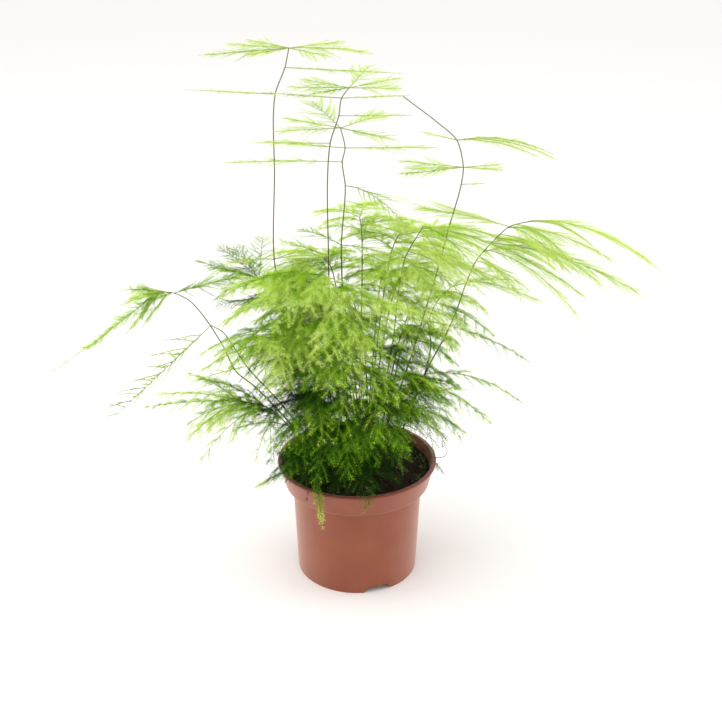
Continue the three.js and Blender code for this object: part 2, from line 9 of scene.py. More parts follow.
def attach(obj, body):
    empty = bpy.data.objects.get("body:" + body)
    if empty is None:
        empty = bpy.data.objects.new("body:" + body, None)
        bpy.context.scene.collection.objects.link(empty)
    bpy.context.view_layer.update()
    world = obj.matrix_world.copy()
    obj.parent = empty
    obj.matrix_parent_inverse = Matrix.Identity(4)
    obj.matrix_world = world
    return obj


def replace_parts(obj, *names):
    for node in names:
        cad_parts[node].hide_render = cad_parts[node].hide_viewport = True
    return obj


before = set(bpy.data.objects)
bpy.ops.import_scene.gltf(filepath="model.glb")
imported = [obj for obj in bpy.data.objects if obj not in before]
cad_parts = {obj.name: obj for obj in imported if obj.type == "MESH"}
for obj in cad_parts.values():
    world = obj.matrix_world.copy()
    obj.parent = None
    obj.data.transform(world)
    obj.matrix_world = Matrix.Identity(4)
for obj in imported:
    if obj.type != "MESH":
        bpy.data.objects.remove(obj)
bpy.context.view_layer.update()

mm = 0.001  # routes and small sizes are written in millimetres
tiny = 1e-12
up = np.array([0.0, 0.0, 1.0])
scene = bpy.context.scene

# Random draws

stream = {"factor": 16807, "modulus": 2147483647}
seedSteps = {"tierFrond": 77, "frond": 131}


def seeded(seed):
    state = seed

    def draw():
        nonlocal state
        state = state * stream["factor"] % stream["modulus"]
        return state / stream["modulus"]

    return draw


def lerp(a, b, share):
    return a + (b - a) * share


def varied(most, draw):
    return lerp(1 - most, 1 + most, draw)


def unit(vectors):
    return vectors / np.maximum(np.linalg.norm(vectors, axis=-1, keepdims=True), tiny)


def polar(radius, turn):
    return radius * math.cos(turn), radius * math.sin(turn)


# Surfaces

class Surface:
    # A material and the nodes that colour it.
    def __init__(self, name, look):
        self.material = bpy.data.materials.new(name)
        self.material.use_nodes = True
        self.nodes = self.material.node_tree.nodes
        self.inputs = self.nodes["Principled BSDF"].inputs
        self.inputs["Roughness"].default_value = look["roughness"]
        self.inputs["Specular IOR Level"].default_value = look["specular"]

    def fill(self, socket, value):
        # A socket takes what another gives, or a colour or a number.
        if isinstance(value, bpy.types.NodeSocket):
            self.material.node_tree.links.new(value, socket)
        else:
            socket.default_value = (*value, 1) if isinstance(value, tuple) else value

    def add(self, kind, output, inputs=(), **settings):
        node = self.nodes.new("ShaderNode" + kind)
        for name, value in settings.items():
            setattr(node, name, value)
        for name, value in dict(inputs).items():
            self.fill(node.inputs[name], value)
        return node.outputs[output]

    def noise(self, scale, detail, roughness=0.55):
        inputs = {"Scale": scale, "Detail": detail, "Roughness": roughness}
        return self.add("TexNoise", "Fac", {"Vector": self.add("TexCoord", "Object"), **inputs})

    def ramp(self, value, stops):
        ramped = self.add("ValToRGB", "Color", {"Fac": value})
        elements = ramped.node.color_ramp.elements
        for end in (0, -1):
            elements[end].position, elements[end].color = stops[end][0], (*stops[end][1], 1)
        for position, colour in stops[1:-1]:
            elements.new(position).color = (*colour, 1)
        return ramped

    def mix(self, share, first, second):  # the node's colours go by number
        return self.add("Mix", 2, {"Factor": share, 6: first, 7: second}, data_type="RGBA")

    def math(self, operation, first, second):
        return self.add("Math", 0, {0: first, 1: second}, operation=operation)

    def paint(self, colour):
        self.colour = colour
        self.fill(self.inputs["Base Color"], colour)

    def mottle(self, look):
        # Two colours in patches, and pits if the look has them.
        stops = list(zip(look["stops"], look["colours"]))
        self.paint(self.ramp(self.noise(*look["mottle"]), stops))
        if "pits" in look:
            inputs = {"Height": self.noise(*look["pits"]), **look["pitted"]}
            self.fill(self.inputs["Normal"], self.add("Bump", "Normal", inputs))
        return self


# Meshes

def addObject(name, data):
    made = bpy.data.objects.new(name, data)
    scene.collection.objects.link(made)
    return made


def addPiece(name, mesh, surface):
    mesh.materials.append(surface.material)
    mesh.update()
    piece = addObject(name, mesh)
    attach(piece, "root")
    return piece


def plainPiece(name, vertices, faces, surface, flat=False):
    mesh = bpy.data.meshes.new(name)
    mesh.from_pydata(vertices, [], faces, shade_flat=flat)
    return addPiece(name, mesh, surface)


def meshOf(shape, name):
    mesh = bpy.data.meshes.new(name)
    shape.to_mesh(mesh)
    shape.free()
    return mesh


# The pot: a turned shape with a soft edge at each corner, less the notches and the drain holes

pot = {
    "rimRadius": 60 * mm,
    "height": 91.5 * mm,
    "lip": 1.8 * mm,
    "lipSlope": 0.3 * mm,
    "bandTop": 58.4 * mm,
    "bandFoot": 54.6 * mm,
    "bandLow": 73 * mm,
    "ledgeDrop": 1 * mm,
    "ledgeInset": 0.6 * mm,
    "ledgeRise": 0.7 * mm,
    "innerLedge": 2 * mm,
    "bodyTop": 48.8 * mm,
    "bodyFoot": 45.7 * mm,
    "wall": 1.5 * mm,
    "floor": 4.5 * mm,
    "softEdge": 0.45 * mm,
    "softShare": 0.45,
    "softStops": (0, 0.33, 0.67, 1),
    "steps": 192,
    "weld": 1e-6,
    "creaseDegrees": 38,
    "notchDegrees": (-70, 50, 170),
    "notchFoot": 21.5 * mm,
    "notchTop": 15.5 * mm,
    "notchHeight": 4.6 * mm,
    "notchReach": 7 * mm,
    "drainRadius": 4.5 * mm,
    "drainCircle": 28 * mm,
    "drainDepth": 8 * mm,
    "drainSides": 32,
    "drainTurn": 60,
    "mottle": (38, 3),
    "stops": (0.35, 0.7),
    "colours": ((0.235, 0.05, 0.017), (0.27, 0.064, 0.025)),
    # Painted shade: the lip's top is painted a darker red.
    "shadedLipColour": (0.17, 0.025, 0.008),
    "roughness": 0.42,
    "specular": 0.45,
    "sheen": {"Weight": 0.5, "Roughness": 0.4, "Tint": (1, 0.78, 0.66)},
    "pits": (420, 4),
    "pitted": {"Strength": 0.12, "Distance": 0.4 * mm},
}


def bodyInside(z):
    return lerp(pot["bodyFoot"], pot["bodyTop"], z / pot["bandLow"]) - pot["wall"]


def bandInside(z):
    share = (z - pot["bandLow"]) / (pot["height"] - pot["bandLow"])
    return lerp(pot["bandFoot"], pot["bandTop"], share) - pot["wall"]


def softened(outline):
    # Each corner of an open outline becomes a short arc of four points.
    corners = [np.array(corner) for corner in outline]
    made = [corners[0]]
    for before, corner, after in zip(corners, corners[1:], corners[2:]):
        shorter = min(np.linalg.norm(before - corner), np.linalg.norm(after - corner))
        cut = min(pot["softEdge"], pot["softShare"] * shorter)
        start = corner + unit(before - corner) * cut
        end = corner + unit(after - corner) * cut
        for share in pot["softStops"]:
            made.append(lerp(lerp(start, corner, share), lerp(corner, end, share), share))
    return made + [corners[-1]]


def makePot():
    top, low, floorTop = pot["height"], pot["bandLow"], pot["floor"] + pot["wall"]
    underLip = top - pot["lip"]
    innerLedge = low + pot["innerLedge"]
    outline = [
        (0, pot["floor"]),
        (bodyInside(0), pot["floor"]),
        (bodyInside(0), 0),
        (pot["bodyFoot"], 0),
        (pot["bodyTop"], low - pot["ledgeDrop"]),
        (pot["bandFoot"] - pot["ledgeInset"], low),
        (pot["bandFoot"], low + pot["ledgeRise"]),
        (pot["bandTop"], underLip),
        (pot["rimRadius"], underLip + pot["lipSlope"]),
        (pot["rimRadius"] - pot["lipSlope"], top),
        (bandInside(top), top),
        (bandInside(innerLedge), innerLedge),
        (bodyInside(low), low),
        (bodyInside(floorTop), floorTop),
        (0, floorTop),
    ]
    shape = bmesh.new()
    corners = [shape.verts.new((r, 0, z)) for r, z in softened(outline)]
    edges = [shape.edges.new(pair) for pair in zip(corners, corners[1:])]
    turned = {"geom": corners + edges, "axis": (0, 0, 1), "cent": (0, 0, 0), "angle": 2 * math.pi}
    bmesh.ops.spin(shape, steps=pot["steps"], **turned)
    bmesh.ops.remove_doubles(shape, verts=shape.verts, dist=pot["weld"])
    bmesh.ops.recalc_face_normals(shape, faces=shape.faces)
    piece = addPiece("pot_body", meshOf(shape, "pot_body"), potSurface())
    cutters = [notchCutter(math.radians(turn)) for turn in pot["notchDegrees"]]
    between = [math.radians(turn + pot["drainTurn"]) for turn in pot["notchDegrees"]]
    places = [(0, 0)] + [polar(pot["drainCircle"], turn) for turn in between]
    cutters += [drainCutter(x, y) for x, y in places]
    cutAway(piece, cutters)
    piece.data.shade_smooth()
    piece.data.set_sharp_from_angle(angle=math.radians(pot["creaseDegrees"]))
    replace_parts(piece, "pot")


def notchCutter(turn):
    # A short bar across the foot ring, narrower at its top.
    foot, top, height = pot["notchFoot"] / 2, pot["notchTop"] / 2, pot["notchHeight"]
    outline = [(-foot, -mm), (foot, -mm), (foot, 0), (top, height), (-top, height), (-foot, 0)]
    cos, sin = polar(1, turn)
    shape = bmesh.new()
    near, far = (
        [shape.verts.new((x * cos - y * sin, x * sin + y * cos, z)) for y, z in outline]
        for x in (pot["bodyFoot"] - pot["notchReach"], pot["bodyFoot"] + pot["notchReach"])
    )
    shape.faces.new(near)
    shape.faces.new(far)
    for k in range(len(outline)):
        shape.faces.new((near[k - 1], near[k], far[k], far[k - 1]))
    bmesh.ops.recalc_face_normals(shape, faces=shape.faces)
    return addObject("cutter", meshOf(shape, "cutter"))


def drainCutter(x, y):
    shape = bmesh.new()
    radius = pot["drainRadius"]
    size = {"segments": pot["drainSides"], "radius1": radius, "radius2": radius, "depth": pot["drainDepth"]}
    bmesh.ops.create_cone(shape, cap_ends=True, **size)
    bmesh.ops.translate(shape, verts=shape.verts, vec=(x, y, pot["floor"]))
    return addObject("cutter", meshOf(shape, "cutter"))


def cutAway(piece, cutters):
    for cutter in cutters:
        cut = piece.modifiers.new("cut", "BOOLEAN")
        cut.operation = "DIFFERENCE"
        cut.solver = "EXACT"
        cut.object = cutter
    graph = bpy.context.evaluated_depsgraph_get()
    finished = bpy.data.meshes.new_from_object(piece.evaluated_get(graph))
    piece.modifiers.clear()
    piece.data = finished
    for cutter in cutters:
        bpy.data.objects.remove(cutter)


def potSurface():
    surface = Surface("terracottaPlastic", pot).mottle(pot)
    place = surface.add("TexCoord", "Object")
    height = surface.add("SeparateXYZ", "Z", {"Vector": place})
    # Painted shade: the top of the lip is painted a darker red.
    onShadedLip = surface.math("GREATER_THAN", height, pot["height"] - pot["lip"])
    surface.paint(surface.mix(onShadedLip, surface.colour, pot["shadedLipColour"]))
    for name, value in pot["sheen"].items():
        surface.fill(surface.inputs["Sheen " + name], value)
    return surface


# The soil: a crumbly disc in the pot, on the same low mound as the model's

soil = {
    "edge": 83.5 * mm,
    "mound": 3.5 * mm,
    "bump": 0.9 * mm,
    "gap": 0.35 * mm,
    "rings": 60,
    "spokes": 200,
    "wave": {"across": 0.31, "shift": 1, "along": 0.27, "slant": (0.73, 0.61), "slantShare": 0.6},
    "edgePower": 6,
    "grain": 1.1 * mm,
    "grainSize": 2.6 * mm,
    "grainLayers": ((1, 0.7), (2.7, 0.45), (6, 0.25)),
    "mottle": (260, 6, 0.7),
    "stops": (0.38, 0.75),
    "colours": ((0.008, 0.005, 0.003), (0.055, 0.032, 0.018)),
    "roughness": 0.95,
    "specular": 0.2,
    "pits": (900, 5, 0.7),
    "pitted": {"Strength": 0.8, "Distance": 0.9 * mm},
}


def soilTop(x, y):
    share = min(1, math.hypot(x, y) / bandInside(soil["edge"]))
    u, v = x / mm, y / mm
    wave = soil["wave"]
    slant = u * wave["slant"][0] - v * wave["slant"][1]
    bumps = math.sin(u * wave["across"] + wave["shift"]) * math.cos(v * wave["along"])
    bumps += wave["slantShare"] * math.sin(slant)
    mound = soil["mound"] * (1 - share**2)
    return soil["edge"] + mound + soil["bump"] * bumps * (1 - share ** soil["edgePower"])


def grain(x, y):
    spot = Vector((x, y, 0)) / soil["grainSize"]
    return soil["grain"] * sum(weight * noise.noise(spot * scale) for scale, weight in soil["grainLayers"])


def makeSoil():
    low, gap, count = pot["bandLow"], soil["gap"], soil["spokes"]
    innerLedge = low + pot["innerLedge"]
    bottom = pot["floor"] + pot["wall"] + gap
    edge = bandInside(soil["edge"]) - gap
    turns = [2 * math.pi * spoke / count for spoke in range(count)]
    vertices = [(0, 0, soilTop(0, 0) + grain(0, 0))]
    for ring in range(1, soil["rings"] + 1):
        for turn in turns:
            x, y = polar(edge * ring / soil["rings"], turn)
            vertices.append((x, y, soilTop(x, y) + grain(x, y)))
    sides = [
        (bandInside(innerLedge) - gap, innerLedge + gap),
        (bodyInside(low) - gap, low + gap),
        (bodyInside(bottom) - gap, bottom),
    ]
    for radius, z in sides:
        vertices += [(*polar(radius, turn), z) for turn in turns]
    vertices.append((0, 0, bottom))
    rows = soil["rings"] + len(sides) - 1
    last = 1 + rows * count
    faces = []
    for spoke in range(count):
        beside = (spoke + 1) % count
        faces.append((0, 1 + spoke, 1 + beside))
        for row in range(rows):
            inner, outer = 1 + row * count, 1 + (row + 1) * count
            faces.append((inner + spoke, outer + spoke, outer + beside, inner + beside))
        faces.append((last + beside, last + spoke, len(vertices) - 1))
    surface = Surface("peatySoil", soil).mottle(soil)
    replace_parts(plainPiece("soil_mound", vertices, faces, surface), "soil")


# Loose bits on the soil: peat crumbs, bark, grit and a patch of moss by the rim on the right

chips = {
    "soil_crumbs": {
        "surface": "peatCrumb", "colours": ((0.006, 0.004, 0.003), (0.06, 0.034, 0.02)),
        "count": 1500, "sizes": (0.5 * mm, 2.3 * mm), "flatness": 0.75, "seed": 5,
    },
    "bark_chips": {
        "surface": "barkChip", "colours": ((0.10, 0.05, 0.022), (0.38, 0.24, 0.11)),
        "count": 46, "sizes": (1.4 * mm, 4.4 * mm), "flatness": 0.45, "seed": 91,
    },
    "pale_grit": {
        "surface": "paleGrit", "colours": ((0.30, 0.27, 0.21), (0.62, 0.58, 0.5)),
        "count": 60, "sizes": (0.6 * mm, 1.7 * mm), "flatness": 0.8, "seed": 17,
    },
    "moss_tufts": {
        "surface": "mossTuft", "colours": ((0.035, 0.075, 0.012), (0.14, 0.22, 0.04)),
        "count": 150, "sizes": (0.7 * mm, 2.0 * mm), "flatness": 0.6, "seed": 29,
        "patch": {"depth": 5 * mm, "degrees": (-32, 22)},
    },
}
crumb = {
    "inset": 2.5 * mm,
    "uneven": 0.28,
    "narrow": 0.7,
    "sink": 0.15,
    "roughness": 0.9,
    "specular": 0.25,
    "mottle": (300, 4),
    "stops": (0.35, 0.7),
    "pits": (1500, 4),
    "pitted": {"Strength": 0.5, "Distance": 0.4 * mm},
}


def lump(size, flatness, draw):
    # A crumb with twelve uneven corners, turned at random.
    shape = bmesh.new()
    bmesh.ops.create_icosphere(shape, subdivisions=1, radius=size / 2)
    turn = 2 * math.pi * draw()
    cos, sin = math.cos(turn), math.sin(turn)
    corners = []
    for vertex in shape.verts:
        x, y, z = vertex.co * varied(crumb["uneven"], draw())
        y *= crumb["narrow"]
        corners.append((x * cos - y * sin, x * sin + y * cos, z * flatness))
    faces = [[v.index for v in face.verts] for face in shape.faces]
    shape.free()
    return corners, faces


def chipPlace(kind, draw):
    spread = bandInside(soil["edge"]) - crumb["inset"]
    patch = kind.get("patch")
    if patch:
        return polar(spread - patch["depth"] * draw(), math.radians(lerp(*patch["degrees"], draw())))
    return polar(spread * math.sqrt(draw()), 2 * math.pi * draw())


def makeChips():
    for name, kind in chips.items():
        draw = seeded(kind["seed"])
        vertices, faces = [], []
        for _ in range(kind["count"]):
            x, y = chipPlace(kind, draw)
            size = lerp(*kind["sizes"], draw() ** 2)
            corners, sides = lump(size, kind["flatness"], draw)
            rise = soilTop(x, y) + grain(x, y) + size * (kind["flatness"] / 2 - crumb["sink"])
            faces += [[corner + len(vertices) for corner in side] for side in sides]
            vertices += [(x + u, y + v, rise + w) for u, v, w in corners]
        surface = Surface(kind["surface"], crumb).mottle({**crumb, **kind})
        plainPiece(name, vertices, faces, surface, flat=True)


# The fronds, as in the model, in millimetres and degrees. A foot is (x, y) in the soil and a route's
# points are (x, y, z). A spray is (at, heading, length, pitch, width, droop): the route's point that it
# leaves, counted from 1, its heading from +X towards +Y, its length, its rise at the root, its half
# width and its tip's fall, if any. A frond's last few sprays may be the scene's own. fillers counts the
# smaller ones grown between them, after its filler, from the lowest share of the stem up.

placedFronds = {
    "frond_tall_left": {
        "look": "tall", "foot": (-21, 12),
        "route": [(-47, 13, 170), (-59, 11, 247), (-57, 10, 310), (-55, 10, 366), (-48, 10, 384),
                  (-45, 10, 397)],
        "sprays": [(4, 176, 62, 2, 6), (5, -4, 80, -2, 7), (6, 188, 60, -3, 15), (6, 172, 44, 2, 15),
                   (6, 2, 56, 2, 18, 6), (6, -38, 36, -2, 16), (6, 20, 40, 3, 14), (6, 214, 34, -2, 14),
                   (6, 150, 34, 4, 12), (2, -30, 48, 22, 14, 8), (2, 24, 42, 14, 14, 8),
                   (2, 196, 40, 10, 14, 8)],
    },
    "frond_tall_middle": {
        "look": "tall", "foot": (-9, 7),
        "route": [(-18, 5, 170), (-20, 4, 251), (-18, 3, 334), (-12, 3, 353), (-10, 3, 365), (-5, 3, 372)],
        "sprays": [(3, 178, 54, 0, 12), (4, -3, 50, 1, 8), (5, 176, 54, 3, 7), (5, 6, 46, 1, 7),
                   (6, 186, 42, 2, 15), (6, -12, 36, 2, 17), (6, 68, 38, 12, 20), (6, 28, 40, 4, 16),
                   (6, 152, 38, 3, 16), (6, 216, 32, 0, 14), (2, 150, 46, 16, 16, 8),
                   (2, 214, 44, 8, 16, 8)],
    },
    "frond_tall_thin": {
        "look": "tall", "foot": (3, 14),
        "route": [(-8, 14, 180), (-11, 13, 257), (-8, 13, 301), (-10, 13, 318), (-8, 13, 328),
                  (-11, 13, 342)],
        "sprays": [(3, -42, 58, 8, 28, 26), (4, 186, 84, 4, 14, 4), (5, -6, 64, 2, 14),
                   (6, 120, 44, 14, 26), (6, 196, 46, 1, 18), (6, -34, 44, -2, 22), (6, 40, 42, 6, 20),
                   (6, 158, 44, 4, 18), (5, 170, 60, 2, 12), (2, -40, 48, 12, 18, 8),
                   (2, 140, 44, 14, 16, 8)],
    },
    "frond_tall_right": {
        "look": "tall", "foot": (18, 9),
        "route": [(40, 5, 174), (49, 3, 209), (57, 2, 241), (64, 0, 273), (72, 0, 306), (73, 0, 318),
                  (68, 0, 337), (56, 0, 348), (31, 0, 367)],
        "sprays": [(5, -8, 17, 4, 6), (6, -20, 28, 2, 15), (6, 188, 42, 1, 20), (7, -4, 72, 8, 13, 24),
                   (7, 192, 28, 16, 7), (6, 166, 46, 2, 16), (6, 204, 50, 1, 16), (6, 14, 30, 1, 10),
                   (7, -14, 60, 8, 10, 18), (7, 4, 68, 9, 9, 22)],
    },
    "frond_arching_right": {
        "look": "arching", "foot": (27, -6),
        "fillers": 10, "lowest": 0.66, "turn": 50, "filler": (96, 4, 22, 32),
        "route": [(52, -8, 171), (64, -7, 196), (71, -6, 214), (78, -5, 237), (84, -5, 252), (94, -5, 265),
                  (106, -5, 277), (122, -4, 281)],
        "sprays": [(4, -22, 58, 4, 18, 14), (5, -34, 42, -4, 13, 10), (6, -13, 116, 0, 30, 36),
                   (7, 168, 72, 14, 30, 8), (8, 6, 101, 0, 24, 46), (7, -52, 60, 4, 24, 22)],
    },
    "frond_long_right": {
        "look": "arching", "foot": (12, -3),
        "fillers": 10, "lowest": 0.74, "turn": 70, "filler": (96, 2, 22, 34),
        "route": [(26, -6, 190), (34, -9, 256), (46, -10, 279)],
        "sprays": [(3, 0, 128, -8, 24, 44), (3, -48, 52, 2, 20, 20), (2, 222, 46, 10, 20, 16)],
    },
    "frond_lower_right": {
        "look": "middle", "foot": (28, 4),
        "fillers": 8, "lowest": 0.45,
        "route": [(50, 3, 160), (54, 2, 184), (52, 1, 203), (57, 0, 218), (67, 0, 230)],
        "sprays": [(3, -12, 74, -4, 17, 20), (4, -44, 54, 6, 20, 16), (5, 18, 52, 12, 20, 12),
                   (1, 4, 76, 8, 17, 38)],
    },
    "frond_arching_left": {
        "look": "whip", "youngAndShade": 0.66, "foot": (-29, -5),
        "fillers": 6, "lowest": 0.9, "turn": 34, "filler": (46, -26, 11, 6),
        "route": [(-57, -4, 132), (-76, -4, 154), (-88, -4, 165), (-97, -4, 186), (-109, -4, 208),
                  (-119, -4, 221), (-130, -4, 227), (-142, -4, 228)],
        "sprays": [(8, 181, 107, -41, 11, -8), (8, 206, 46, -50, 7, -2), (8, 160, 30, 2, 9, 4),
                   (7, 10, 64, 14, 18, 4)],
    },
    "frond_sparse_left": {
        "look": "sparse", "youngAndShade": 0.8, "foot": (-23, -13),
        "comb": 13,
        "route": [(-56, -16, 146), (-79, -18, 176), (-88, -18, 192), (-95, -18, 203), (-103, -18, 208)],
        "sprays": [(5, 183, 102, -44, 30), (2, 190, 44, -8, 15, 4)],
    },
    "frond_low_left": {
        "look": "middle", "youngAndShade": 0.9, "foot": (-33, -15),
        "fillers": 10, "lowest": 0.55, "turn": 80,
        "route": [(-50, -22, 130), (-66, -26, 148), (-84, -28, 153)],
        "sprays": [(3, 178, 72, 2, 17, 9), (3, 222, 48, -2, 17, 14), (2, 144, 46, 8, 18, 10),
                   (3, 186, 64, 22, 20, 16), (3, 158, 52, 34, 20, 14), (2, 172, 60, 38, 22, 18),
                   (2, 200, 50, 10, 18, 16), (1, 190, 44, 24, 18, 18)],
    },
    "frond_back_left": {
        "look": "feathery", "foot": (-15, 26),
        "fillers": 10, "lowest": 0.55,
        "route": [(-42, 42, 162), (-60, 52, 200), (-74, 55, 215)],
        "sprays": [(3, 172, 52, 14, 16), (3, 120, 48, 16, 22), (2, 66, 52, 20, 24),
                   (3, 196, 44, 26, 18, 6), (3, 150, 46, 34, 20, 6), (3, 88, 46, 40, 20, 6),
                   (2, 30, 44, 34, 20, 8), (2, 190, 50, 8, 20, 10)],
    },
    "frond_over_rim": {
        "look": "hanging", "foot": (-16, -33),
        "route": [(-22, -42, 104), (-30, -55, 114)],
        "sprays": [(2, -68, 45, -70, 8), (2, 168, 46, -8, 12, 16)],
    },
    "frond_front_left": {
        "look": "front", "foot": (-5, -10),
        "fillers": 15, "lowest": 0.55,
        "route": [(-12, -15, 170), (-23, -22, 216), (-32, -26, 242), (-40, -29, 253)],
        "sprays": [(4, 214, 60, 10, 22, 16), (4, 238, 48, 4, 18, 18), (3, 254, 44, 16, 16, 14),
                   (3, 176, 48, 12, 20, 12)],
    },
    "frond_front_middle": {
        "look": "front", "foot": (3, -9),
        "fillers": 14, "lowest": 0.5,
        "route": [(-2, -15, 170), (-9, -22, 214), (-15, -27, 240), (-22, -31, 251)],
        "sprays": [(4, 257, 48, 6, 17, 13), (4, 280, 50, 6, 17, 14), (3, 306, 46, 18, 18, 9),
                   (4, 204, 44, 16, 18, 8)],
    },
    "frond_front_right": {
        "look": "front", "foot": (8, -12),
        "fillers": 13, "lowest": 0.5,
        "route": [(7, -18, 165), (4, -25, 205), (-2, -30, 230), (-6, -36, 240)],
        "sprays": [(4, 246, 54, -4, 18, 16), (3, -42, 50, 20, 20, 8), (3, -14, 54, 8, 20, 14)],
    },
    "frond_left_plume": {
        "look": "middle", "youngAndShade": 0.62, "foot": (-9, -15),
        "fillers": 16, "lowest": 0.45,
        "route": [(-24, -21, 170), (-40, -25, 210), (-52, -28, 230)],
        "sprays": [(3, 192, 46, 2, 18, 16), (3, 236, 48, -8, 20, 16), (2, 254, 50, 2, 20, 16),
                   (2, 206, 44, -2, 18, 16)],
    },
    "frond_centre_front": {
        "look": "middle", "foot": (0, -19),
        "fillers": 15, "lowest": 0.42,
        "route": [(-2, -26, 140), (-6, -34, 170), (-10, -41, 190), (-14, -44, 199)],
        "sprays": [(4, 278, 34, -6, 15, 6), (4, 240, 42, -2, 16, 10), (3, 302, 38, -8, 14, 8),
                   (2, 262, 36, 4, 13, 12)],
    },
    "frond_right_front": {
        "look": "middle", "foot": (15, -13),
        "fillers": 14, "lowest": 0.46,
        "route": [(14, -20, 140), (12, -28, 166), (10, -33, 182)],
        "sprays": [(3, -14, 58, 4, 18, 18), (2, -36, 50, 2, 16, 12), (3, -70, 36, -4, 14, 8)],
    },
    "frond_left_front": {
        "look": "middle", "youngAndShade": 0.62, "foot": (-15, -11),
        "fillers": 18, "lowest": 0.35,
        "route": [(-30, -20, 150), (-48, -30, 188), (-60, -38, 204), (-70, -42, 212)],
        "sprays": [(4, -52, 36, 0, 13, 4), (2, 258, 46, 8, 18, 12), (4, 190, 40, 0, 14, 14)],
    },
}

sprayParts = ("at", "heading", "length", "pitch", "width", "droop")

# The other fronds stand in tiers, each named after its look. A plan is a frond's heading, its reach
# from the middle and its top. spray, as a frond's filler, is the length, pitch, width and droop.
tiers = [
    {
        "look": "upper", "foot": 9, "seed": 11000,
        "spray": (62, 10, 25, 20), "fillers": 14, "lowest": 0.5, "backLowest": 0.5, "rightShare": 0.8,
        "plans": [(-8, 40, 250), (36, 38, 262), (86, 30, 272), (138, 32, 244), (184, 38, 238)],
    },
    {
        "look": "middle", "foot": 18, "seed": 23000,
        "spray": (60, 10, 25, 24), "fillers": 20, "lowest": 0.34, "backLowest": 0.3, "rightShare": 0.6,
        "plans": [(-104, 36, 222), (22, 50, 212), (66, 47, 226), (128, 48, 206), (173, 48, 194)],
    },
    {
        "look": "lower", "foot": 27, "seed": 37000,
        "spray": (54, 6, 22, 26), "fillers": 20, "lowest": 0.3, "backLowest": 0.1, "rightShare": 0.75,
        "plans": [(-133, 42, 158), (-104, 40, 142), (-66, 36, 158), (-22, 46, 164), (38, 50, 180),
                  (86, 47, 162), (144, 50, 172)],
    },
    {
        "look": "short", "foot": 35, "seed": 53000,
        "spray": (40, 4, 16, 20), "fillers": 13, "lowest": 0.34, "backLowest": 0.34, "rightShare": 0.3,
        "plans": [(-122, 37, 122), (-84, 37, 112), (-152, 37, 110)],
    },
]
arch = [(0.25, 0.5), (0.55, 0.84), (0.8, 0.97), (1, 1)]  # shares of the reach and of the rise
fan = [(4, 0, 1), (4, 52, 0.8), (3, -50, 0.84)]  # the route's point, and a spray's turn and size
spread = {"jitterDeg": 14, "sway": 6, "length": 0.1, "pitch": 0.4}
# Smaller sprays between them, from lowest to highest along the stem and turned up to either side.
fillers = {
    "lowest": 0.38,
    "highest": 0.98,
    "turn": 125,
    "sizes": (0.5, 0.95),
    "goldenShare": 0.618,
    "stray": 0.2,
    "pitches": (-0.6, 2.2),
    "droops": (0.7, 1.8),
    "spray": (56, 6, 24, 24),
}
# Thin side shoots that stand out level from a frond's first spray.
comb = {
    "from": (0.1, 0.96),
    "turn": 34,
    "turns": (0.4, 1),
    "length": 34,
    "lengths": (0.7, 1.1),
    "shortening": 0.5,
    "pitch": 8,
    "droop": 4,
    "width": 5,
}
